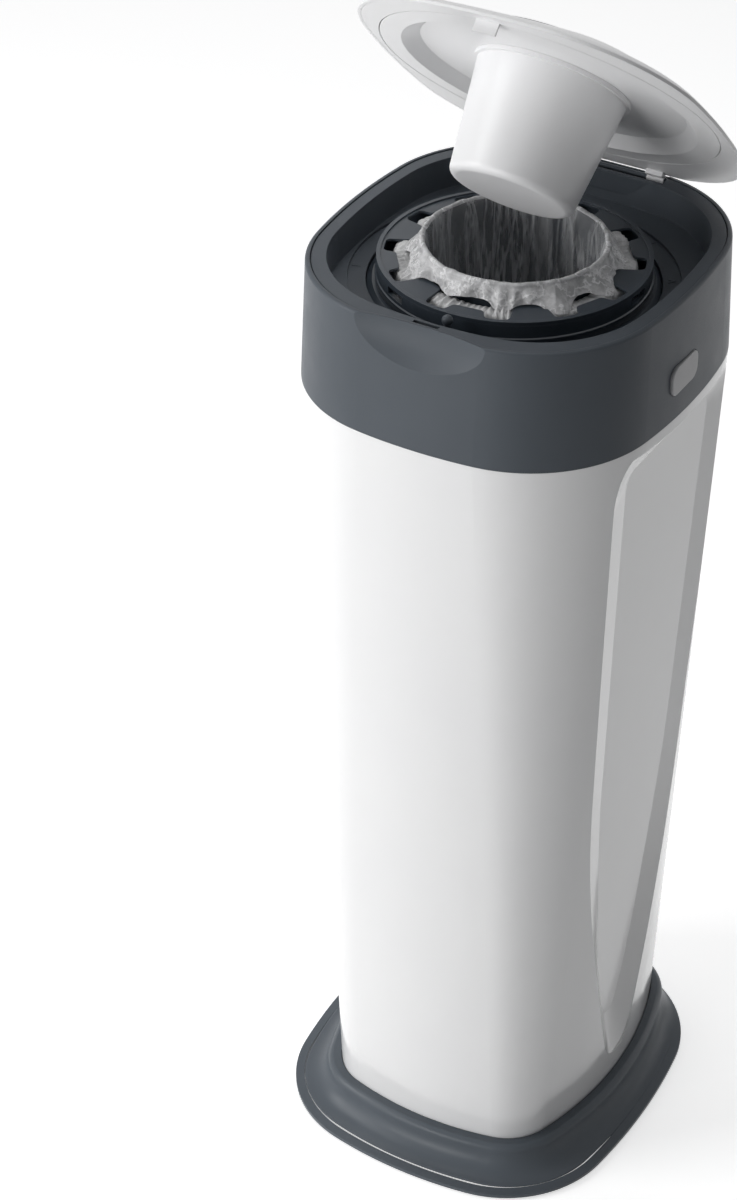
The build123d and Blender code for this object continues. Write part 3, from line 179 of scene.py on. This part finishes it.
natural_white = moulded("natural_white", (0.74, 0.74, 0.72), (0.70, 0.70, 0.685), 0.42, 1500, 0.2, edge=0.0004)
rubber = moulded("rubber_black", (0.030, 0.030, 0.031), (0.024, 0.024, 0.025), 0.72, 1100, 0.5, edge=0.0004)


def steel():
    m = Nodes("drawn_steel")
    m.shader.inputs["Metallic"].default_value = 1.0
    streak = m.noise(700, 3, 0.5, (0.05, 1, 1))
    shade = m.blend(m.ramp(streak, 0, 0.3, 0.7, 0, 1), (0.62, 0.63, 0.65), (0.50, 0.51, 0.53))
    m.link(shade, 2, m.shader, "Base Color")
    m.link(m.ramp(streak, 0, 0.3, 0.7, 0.22, 0.38), 0, m.shader, "Roughness")
    m.bumps([(streak, 0.1, 0.0002)], 0.0002)
    return m.material


def film(name, thin, thick, colour, folds, rough=0.28):
    """Milky plastic film: cloudier where it is crumpled, with fine creases that catch the light."""
    m = Nodes(name)
    crumple = m.noise(130, 4, 0.6, folds)
    crease = m.noise(75, 4, 0.6, folds)
    from_middle = m.add("ShaderNodeMath", operation="SUBTRACT")
    from_middle.inputs[1].default_value = 0.5
    m.link(crease, 0, from_middle, 0)
    near = m.add("ShaderNodeMath", operation="ABSOLUTE")
    m.link(from_middle, 0, near, 0)
    ridge = m.ramp(near, 0, 0.0, 0.045, 1, 0)
    # painted highlight: the crease lines keep the full colour and the rest of the film is a tenth darker, so the
    # creases look lit
    colours = m.blend(ridge, tuple(c * 0.90 for c in colour), colour)
    m.link(colours, 2, m.shader, "Base Color")
    cloud = m.ramp(crumple, 0, 0.42, 0.70, 0, 0.75)
    whiter = m.add("ShaderNodeMath", operation="MAXIMUM")
    m.link(cloud, 0, whiter, 0)
    m.link(ridge, 0, whiter, 1)
    m.link(m.ramp(whiter, 0, 0, 1, thin, thick), 0, m.shader, "Alpha")
    m.link(m.ramp(crumple, 0, 0.3, 0.7, rough - 0.08, rough + 0.1), 0, m.shader, "Roughness")
    m.bumps([(crumple, 0.45, 0.0014), (ridge, 0.35, 0.0006)])
    m.shader.inputs["Subsurface Weight"].default_value = 0.0
    m.shader.inputs["Transmission Weight"].default_value = 0.0
    m.shader.inputs["Sheen Weight"].default_value = 0.1
    return m.material


steel_drawn = steel()
# inside the tube the film is less opaque, so the dark tube shows through, and it is given a greyer colour than the
# same sheet outside as painted shade inside the tube
film_inner = film("film_clear_painted_shade", 0.20, 0.62, (0.74, 0.75, 0.77), (1, 1, 0.12))
film_outer = film("film_milky", 0.46, 0.95, (0.93, 0.93, 0.94), (1, 1, 1))
film_wrap = film("film_wrapped", 0.97, 1.0, (0.83, 0.83, 0.83), (1, 1, 0.35))

FINISH = {
    "tub_white": tub_white, "lid_white": lid_white, "grip_white": natural_white, "housing_grey": housing_grey,
    "base_grey": base_grey, "button_grey": button_grey, "cassette_slate": cassette_slate,
    "film": film_wrap, "rubber": rubber, "steel": steel_drawn,
}
slots = {part["node"]: part["material_slot"] for part in frame["record"]["subparts"]}
nodes = frame["nodes"]
for name, slot_name in slots.items():
    solid = bpy.data.objects[name] if name in bpy.data.objects else nodes[name]
    if solid.material_slots:
        for held in solid.material_slots:
            held.material = FINISH[slot_name]
    else:
        solid.data.materials.append(FINISH[slot_name])


# ---------------------------------------------------------------- mesh helpers
def piece(name, points, faces, material, body, smooth=True, thickness=0.0, subdivide=0):
    mesh = bpy.data.meshes.new(name)
    mesh.from_pydata([tuple(p) for p in points], [], faces)
    mesh.validate()
    mesh.update()
    for polygon in mesh.polygons:
        polygon.use_smooth = smooth
    obj = bpy.data.objects.new(name, mesh)
    bpy.context.collection.objects.link(obj)
    materials = material if isinstance(material, (list, tuple)) else [material]
    for entry in materials:
        mesh.materials.append(entry)
    if thickness:
        shell = obj.modifiers.new("thickness", "SOLIDIFY")
        shell.thickness = thickness
        shell.offset = 0
    if subdivide:
        finer = obj.modifiers.new("finer", "SUBSURF")
        finer.levels = finer.render_levels = subdivide
    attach(obj, body)
    return obj


def ring_faces(rows, around, closed_rows=False):
    faces = []
    for j in range(rows if closed_rows else rows - 1):
        k = (j + 1) % rows
        for i in range(around):
            n = (i + 1) % around
            faces.append((j * around + i, j * around + n, k * around + n, k * around + i))
    return faces


def wobble(angle, along, cycles, seed):
    """Smooth noise that closes round the axis."""
    r = cycles / (2 * math.pi)
    return noise.noise(Vector((r * math.cos(angle) + seed * 7.3, r * math.sin(angle) - seed * 3.1, along + seed)))


tube_low, tube_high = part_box("cassette_tube")
AXIS_Y = (tube_low.y + tube_high.y) / 2 / MM
TUBE = (tube_high.x - tube_low.x) / 2 / MM
TUBE_TOP = tube_high.z / MM
CAP_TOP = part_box("cassette_cap")[1].z / MM
CAP_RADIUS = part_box("cassette_cap")[1].x / MM

# ---------------------------------------------------------------- film in the cassette's mouth
AROUND = 720
rng = np.random.default_rng(11)
pleats = [(rng.uniform(0, 2 * math.pi), rng.uniform(0.6, 2.3), rng.uniform(0.010, 0.040), rng.uniform(-0.10, 0.10))
          for _ in range(64)]


def pleat_depth(angle, down):
    """How far the lining stands in from the tube: narrow folds that lean and die away downwards."""
    total = 0.0
    for at, high, wide, lean in pleats:
        gap = (angle - at - lean * down + math.pi) % (2 * math.pi) - math.pi
        if abs(gap) < wide * 3.2:
            total += high * math.exp(-((gap / wide) ** 2)) * (0.35 + 0.65 * min(1.0, down * 4 + 0.2))
    return min(total, 2.6) + 0.35 * abs(wobble(angle, down * 2, 30, 3))


def between_tabs(angle):
    """1 in the gaps between the cap's tabs and 0 over the tabs."""
    return 0.5 - 0.5 * math.cos(12 * (angle - math.radians(TAB_TURN)))


def hem_radius(angle):
    """Edge of the drape: it ends on the tabs, and runs out to the pleated store between them."""
    base = TUBE + 4.2 + 2.2 * wobble(angle, 0, 9, 1) + 1.6 * wobble(angle, 0, 30, 2) + 0.9 * wobble(angle, 0, 70, 4)
    base += 6.5 * between_tabs(angle) ** 1.5 * (0.75 + 0.8 * wobble(angle, 0, 7, 5))
    for degrees, wide, amount in HEM_BUNCHES:
        gap = (angle - math.radians(degrees) + math.pi) % (2 * math.pi) - math.pi
        base += amount * math.exp(-((gap / wide) ** 2))
    return min(max(base, TUBE + 2.6), CAP_RADIUS - 9)


def fold_lines(angle, along, seed):
    """Crumpling: thin ridges where smooth noise crosses zero, at three sizes."""
    total = 0.0
    for cycles, share, run in ((16, 1.0, 0.7), (38, 0.6, 1.8), (84, 0.3, 4.0)):
        total += share * (1 - min(1.0, abs(wobble(angle, along * run, cycles, seed)) * 5))
        seed += 1
    return total / 1.9


# degrees round the axis, width in radians and reach in mm of the bunches that spread over the cap
HEM_BUNCHES = ((353, 0.20, 3), (318, 0.24, 3), (228, 0.20, 4), (171, 0.18, 4), (68, 0.22, 3))
TAB_TURN = 6.0
OUTER, LIP, WALLS, FUNNEL = 26, 9, 44, 22
LIP_ROLL = 1.7
lip_mid = TUBE - 1.1
wall_in = TUBE - 2.95
wall_foot = TUBE_TOP - 66
points, rows = [], 0


def add_ring(radius_height):
    """One ring of points from a function of the angle that gives radius and height."""
    for i in range(AROUND):
        angle = 2 * math.pi * i / AROUND
        r, z = radius_height(angle)
        points.append((r * math.cos(angle) * MM, (AXIS_Y + r * math.sin(angle)) * MM, z * MM))


def drape(t):
    """t = 0 is the hem lying on the cap, t = 1 the outside of the rolled lip."""
    def at(a):
        hem = hem_radius(a)
        gathers = 0.5 + 0.5 * math.sin(30 * a + 7 * wobble(a, 0, 11, 8))
        top = lip_mid + LIP_ROLL
        r = hem + (top - hem) * (1 - (1 - t) ** 1.25)
        swell = math.sin(math.pi * min(1, t * 0.93 + 0.10))
        foot = CAP_TOP + 0.35 - 3.2 * between_tabs(a) * min(1, max(0, (hem - TUBE - 5) / 5)) * (1 - t) ** 2
        rise = foot + (TUBE_TOP - CAP_TOP - 0.4) * t ** 1.35
        z = rise + swell * (1.5 * fold_lines(a, t, 5) + 0.5 * gathers + 0.5 * wobble(a, t * 3, 24, 6))
        r += swell * (1.1 * (gathers - 0.4) + 0.9 * (fold_lines(a, t * 0.8, 17) - 0.4))
        return max(r, TUBE + 0.35), max(z, foot - 0.2)
    return at


def lip(t):
    def at(a):
        roll = LIP_ROLL + 0.35 * wobble(a, 0, 60, 9)
        rise = 1.5 * max(0, wobble(a, 0.5, 12, 10)) + 0.9 * max(0, wobble(a, 0.1, 40, 12)) + 0.5 * fold_lines(a, 0, 28)
        r = lip_mid + roll * math.cos(math.pi * t) + 0.5 * wobble(a, t, 40, 13)
        return r, TUBE_TOP - 0.3 + (roll + rise) * math.sin(math.pi * t)
    return at


def wall(t):
    def at(a):
        inward = pleat_depth(a, t) * min(1, t * 7 + 0.15) + 0.5 * fold_lines(a, t * 0.6, 33)
        return wall_in - inward, TUBE_TOP - 0.6 + (wall_foot - TUBE_TOP + 0.6) * t
    return at


def funnel(t):
    def at(a):
        twist = 1.4 * t ** 2
        start = wall_in - pleat_depth(a - twist, 1) - 0.5 * fold_lines(a - twist, 0.6, 33) * (1 - t)
        gathers = math.sin(30 * (a - twist) + 3 * wobble(a - twist, 0, 7, 15))
        r = start + (5.2 - start) * t ** 1.25 + 1.1 * gathers * math.sin(math.pi * t) * (1 - 0.35 * t)
        return r, wall_foot - 14.2 * t ** 1.1 + 0.8 * gathers * math.sin(math.pi * t)
    return at


for shape, count, first in ((drape, OUTER, 0), (lip, LIP, 1), (wall, WALLS, 1), (funnel, FUNNEL, 1)):
    steps = count - 1 if first == 0 else count
    for j in range(count):
        add_ring(shape((j + first) / steps))
        rows += 1
faces = ring_faces(rows, AROUND)
film_sheet = piece("film_lining", points, faces, [film_outer, film_inner], "cassette", thickness=0.00006)
split = (OUTER + LIP - 2) * AROUND
for polygon in film_sheet.data.polygons:
    polygon.material_index = 0 if polygon.index < split else 1
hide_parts("film_mouth")

# ---------------------------------------------------------------- pleated film store under the cap
points, rows = [], 0
PLEATS = 960
STORE_IN, STORE_OUT = TUBE + 2.6, CAP_RADIUS - 8.6
STORE_LOW, STORE_TOP = wall_foot + 5, CAP_TOP - 3.6
across = STORE_OUT - STORE_IN
profile = [(0.0, 0.0), (0.0, 0.4), (0.0, 0.86), (0.03, 0.97), (0.10, 1.0), (0.22, 1.0), (0.36, 1.0), (0.50, 1.0),
           (0.64, 1.0), (0.78, 1.0), (0.90, 1.0), (0.98, 0.95), (1.0, 0.86), (1.0, 0.4), (1.0, 0.0), (0.5, -0.01)]
for share, level in profile:
    for i in range(PLEATS):
        a = 2 * math.pi * i / PLEATS
        r = STORE_IN + across * share
        z = STORE_LOW + (STORE_TOP - STORE_LOW) * level
        folds = math.sin(96 * a + 10 * wobble(a, share * 0.8, 16, 21)) + 0.6 * wobble(a, share * 2, 150, 22)
        if level >= 0.95:
            # the pleats swell up between the cap's tabs and lie low under them
            z += between_tabs(a) * (2.2 + 0.9 * folds) * math.sin(math.pi * min(1, max(0, share)))
            z += 0.25 * folds
        r += 0.15 * folds
        points.append(((r * math.cos(a)) * MM, (AXIS_Y + r * math.sin(a)) * MM, z * MM))
    rows += 1
film_store = piece("film_store", points, ring_faces(rows, PLEATS, True), film_wrap, "cassette")
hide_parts("film_pack")


# ---------------------------------------------------------------- marks on the basin's floor
FLOOR_MARK_HIGH = 0.35
STROKE_HALF = 0.45
liner = nodes["collar_liner"]
to_liner = liner.matrix_world.inverted()


def basin_point(degrees, radius):
    """Point and normal of the liner's floor below a place given round the cassette's axis."""
    turn = math.radians(degrees)
    above = Vector((radius * math.cos(turn), AXIS_Y + radius * math.sin(turn), TUBE_TOP)) * MM
    found, place, normal, _ = liner.ray_cast(to_liner @ above, to_liner.to_3x3() @ Vector((0, 0, -1)))
    assert found, "no floor under the mark"
    return liner.matrix_world @ place / MM, (liner.matrix_world.to_3x3() @ normal).normalized()


def floor_mark(name, degrees, radius, strokes):
    """Raised strokes, each from one (outwards, sideways) point to another, on the basin's floor."""
    points, faces = [], []
    centre, normal = basin_point(degrees, radius)
    radial = Vector((math.cos(math.radians(degrees)), math.sin(math.radians(degrees)), 0))
    outwards = (radial - normal * radial.dot(normal)).normalized()
    sideways = normal.cross(outwards)
    for start, end in strokes:
        a = centre + outwards * start[0] + sideways * start[1]
        b = centre + outwards * end[0] + sideways * end[1]
        half = (b - a).normalized().cross(normal) * STROKE_HALF
        first = len(points)
        for high in (-0.2, FLOOR_MARK_HIGH):
            for corner in (a - half, b - half, b + half, a + half):
                points.append(tuple((corner + normal * high) * MM))
        faces += [tuple(first + i for i in face) for face in
                  ((3, 2, 1, 0), (4, 5, 6, 7), (0, 1, 5, 4), (1, 2, 6, 5), (2, 3, 7, 6), (3, 0, 4, 7))]
    # painted shade: the strokes take the darker cassette slate, standing in for the shade inside the engraved marks
    return piece(name, points, faces, cassette_slate, "housing", smooth=False)


arrow = (((-2.2, -2.0), (1.8, 0)), ((1.8, 0), (-2.2, 2.0)))
dash = (((-2.6, 0), (2.6, 0)),)
for number, (degrees, radius, strokes) in enumerate((
        (171, 90.3, arrow), (27.7, 89.5, arrow), (201.6, 91, dash), (57, 93.6, dash), (84.4, 98.5, dash))):
    floor_mark(f"floor_mark_{number + 1}", degrees, radius, strokes)

# ---------------------------------------------------------------- apron behind the lid hinge
APRON_HALF = 37.8
APRON_THICK = 0.8
APRON_DEEP = 7.6
APRON_RISE = 1.1
BARREL_CLEARANCE = 2.85
pin_low, pin_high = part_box("lid_hinge_pin")
apron_front = (pin_low.y + pin_high.y) / 2 / MM + BARREL_CLEARANCE
apron_middle = (pin_low.z + pin_high.z) / 2 / MM
corners = [(x, y, z)
           for z in (apron_middle - APRON_DEEP, apron_middle + APRON_RISE)
           for x, y in ((-APRON_HALF, apron_front), (APRON_HALF, apron_front),
                        (APRON_HALF, apron_front + APRON_THICK), (-APRON_HALF, apron_front + APRON_THICK))]
box_faces = ((3, 2, 1, 0), (4, 5, 6, 7), (0, 1, 5, 4), (1, 2, 6, 5), (2, 3, 7, 6), (3, 0, 4, 7))
piece("hinge_apron", [tuple(v * MM for v in corner) for corner in corners], box_faces, housing_grey,
      "housing", smooth=False)

# ---------------------------------------------------------------- wrapped bundles
def wrapped(number, top, body):
    """Filled film drum: soft belly, radial gathers that run into a twisted neck at each end."""
    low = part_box(f"wrapped_bundle_{number}")[0].z / MM
    points = []
    round_count, levels = 480, 96
    for j in range(levels):
        t = j / (levels - 1)
        z = low + (top - low) * t
        end = min(t, 1 - t)
        belly = 43.2 * min(1, (1 - (1 - min(1, end / 0.26)) ** 2.4)) ** 0.62
        neck = 5.2
        r0 = max(neck, belly)
        for i in range(round_count):
            a = 2 * math.pi * i / round_count
            twist = 2.2 * max(0, 1 - end / 0.12) * (1 if t > 0.5 else -1)
            gather = math.sin(34 * (a + twist) + 4 * wobble(a + twist, number, 8, 31 + number))
            shoulder = math.exp(-((end - 0.07) / 0.075) ** 2)
            fine = wobble(a + twist, t * 9, 70, 41 + number) * 0.9 + wobble(a, t * 3, 18, 51 + number) * 1.3
            r = r0 + gather * 1.25 * shoulder + fine * min(1, end * 9) - 0.35
            r = min(r, 44.2)
            points.append((r * math.cos(a) * MM, (AXIS_Y + r * math.sin(a)) * MM, z * MM))
    faces = ring_faces(levels, round_count)
    faces.append(tuple(reversed(range(round_count))))
    faces.append(tuple(range((levels - 1) * round_count, levels * round_count)))
    bundle = piece(f"bundle_film_{number}", points, faces, film_wrap, body)
    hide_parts(f"wrapped_bundle_{number}")
    return bundle


for number in (1, 2, 3):
    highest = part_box(f"wrapped_bundle_{number}")[1].z / MM
    wrapped(number, highest, "housing" if number == 1 else "bin_base")

# ---------------------------------------------------------------- studio
def background_rays(tree):
    """1 for the rays that see the background: camera, glossy and transmission rays."""
    path = tree.nodes.new("ShaderNodeLightPath")
    total = path.outputs["Is Camera Ray"]
    for kind in ("Is Glossy Ray", "Is Transmission Ray"):
        either = tree.nodes.new("ShaderNodeMath")
        either.operation = "MAXIMUM"
        tree.links.new(total, either.inputs[0])
        tree.links.new(path.outputs[kind], either.inputs[1])
        total = either.outputs[0]
    return total


def pale_floor():
    """White to the rays that see it, and darker only where the object shades it."""
    m = Nodes("floor_pale")
    m.shader.inputs["Roughness"].default_value = 0.7
    m.shader.inputs["Specular IOR Level"].default_value = 0.0
    cloud = m.blend(m.ramp(m.noise(2.0, 2), 0, 0.3, 0.7, 0, 1), (0.88, 0.88, 0.88), (0.87, 0.87, 0.87))
    m.link(cloud, 2, m.shader, "Base Color")
    glow = m.add("ShaderNodeEmission")
    glow.inputs["Color"].default_value = (1, 1, 1, 1)
    glow.inputs["Strength"].default_value = FLOOR_GLOW
    both = m.add("ShaderNodeAddShader")
    m.link(m.shader, 0, both, 0)
    m.link(glow, 0, both, 1)
    share = m.add("ShaderNodeMixShader")
    m.tree.links.new(background_rays(m.tree), share.inputs[0])
    m.link(m.shader, 0, share, 1)
    m.link(both, 0, share, 2)
    m.link(share, 0, m.out, "Surface")
    return m.material


FLOOR_GLOW = 0.62
reach = 6.0
floor_mesh = bpy.data.meshes.new("floor")
floor_mesh.from_pydata([(-reach, -reach, 0), (reach, -reach, 0), (reach, reach, 0), (-reach, reach, 0)], [],
                       [(0, 1, 2, 3)])
floor = bpy.data.objects.new("floor", floor_mesh)
bpy.context.collection.objects.link(floor)
floor_mesh.materials.append(pale_floor())

world = bpy.data.worlds.new("studio")
bpy.context.scene.world = world
world.use_nodes = True
tree = world.node_tree
tree.nodes.clear()
out = tree.nodes.new("ShaderNodeOutputWorld")
light = tree.nodes.new("ShaderNodeBackground")
light.inputs["Color"].default_value = (0.95, 0.97, 1.0, 1)
light.inputs["Strength"].default_value = 0.08
seen = tree.nodes.new("ShaderNodeBackground")
seen.inputs["Color"].default_value = (1, 1, 1, 1)
seen.inputs["Strength"].default_value = 1.0
share = tree.nodes.new("ShaderNodeMixShader")
tree.links.new(background_rays(tree), share.inputs[0])
tree.links.new(light.outputs[0], share.inputs[1])
tree.links.new(seen.outputs[0], share.inputs[2])
tree.links.new(share.outputs[0], out.inputs["Surface"])


def softbox(name, place, aim, wide, high, power, tint=(1, 1, 1)):
    lamp = bpy.data.lights.new(name, "AREA")
    lamp.shape = "RECTANGLE"
    lamp.size, lamp.size_y = wide, high
    lamp.energy = power
    lamp.color = tint
    obj = bpy.data.objects.new(name, lamp)
    obj.location = place
    obj.rotation_euler = (Vector(aim) - Vector(place)).to_track_quat("-Z", "Y").to_euler()
    bpy.context.collection.objects.link(obj)
    return obj


middle = (0, 0, 0.4)
softbox("light_left", (-2.05, -1.55, 1.3), middle, 1.2, 2.0, 44)
softbox("light_front_low", (-0.6, -2.4, 0.5), middle, 1.0, 0.8, 18)
softbox("light_above", (-0.5, 0.4, 2.7), (0, 0, 0.5), 1.4, 1.4, 20)
softbox("light_rear_right", (1.2, 2.0, 0.6), middle, 0.6, 1.6, 4)
